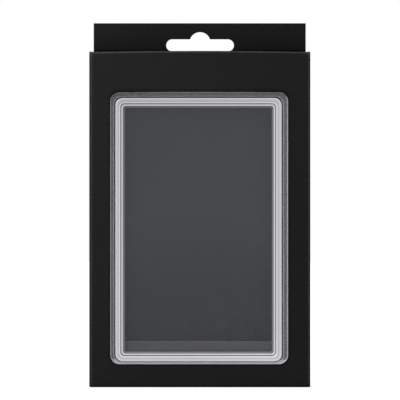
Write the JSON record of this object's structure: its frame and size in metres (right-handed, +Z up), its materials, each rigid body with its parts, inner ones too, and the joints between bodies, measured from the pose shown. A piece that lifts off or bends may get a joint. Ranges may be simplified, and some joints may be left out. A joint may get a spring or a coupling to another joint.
{
  "type": "graded card case protector in its retail pack",
  "caption": "Black hanging pack with a windowed sleeve and sliding drawer, holding a two-half silver framed clear protector for a graded card case.",
  "frame": {"origin": "middle of the pack's footprint, on the surface that it stands on", "axes": "+Z up towards the hang tab, +Y from the window to the back panel, +X to the right as seen from the front"},
  "size_m": [0.122, 0.018, 0.2028],
  "materials": {
    "black_card": "matte black coated board",
    "clear_sheet": "clear thermoformed sheet",
    "grey_card": "matte dark grey board",
    "silver_frame": "metallic silver, satin",
    "clear_pane": "clear, polished",
    "soft_liner": "matte dark soft plastic",
    "plated_magnet": "nickel plated"
  },
  "bodies": {
    "sleeve": {"sleeve": "black_card"},
    "drawer": {"drawer": "black_card", "clear_tray": "clear_sheet"},
    "case_rear": {"rear_frame": "silver_frame", "rear_pane": "clear_pane", "rear_liner": "soft_liner", "rear_magnet_top_left": "plated_magnet", "rear_magnet_top_right": "plated_magnet", "rear_magnet_middle_left": "plated_magnet", "rear_magnet_middle_right": "plated_magnet", "rear_magnet_bottom_left": "plated_magnet", "rear_magnet_bottom_right": "plated_magnet"},
    "case_front": {"front_frame": "silver_frame", "front_pane": "clear_pane", "front_liner": "soft_liner", "front_magnet_top_left": "plated_magnet", "front_magnet_top_right": "plated_magnet", "front_magnet_middle_left": "plated_magnet", "front_magnet_middle_right": "plated_magnet", "front_magnet_bottom_left": "plated_magnet", "front_magnet_bottom_right": "plated_magnet"},
    "insert": {"insert_card": "grey_card"}
  },
  "joints": [
    {"name": "drawer_slide", "type": "slide", "parent": "sleeve", "child": "drawer", "axis": [0, 0, 1], "range_m": [0, 0.19]},
    {"name": "case_lift", "type": "slide", "parent": "drawer", "child": "case_rear", "axis": [0, -1, 0], "range_m": [0, 0.05]},
    {"name": "front_half_lift", "type": "slide", "parent": "case_rear", "child": "case_front", "axis": [0, -1, 0], "range_m": [0, 0.04]},
    {"name": "insert_lift", "type": "slide", "parent": "case_rear", "child": "insert", "axis": [0, -1, 0], "range_m": [0, 0.02]}
  ],
  "couplings": [
    {"joint": "insert_lift", "follows": "front_half_lift", "ratio": 0.5}
  ]
}
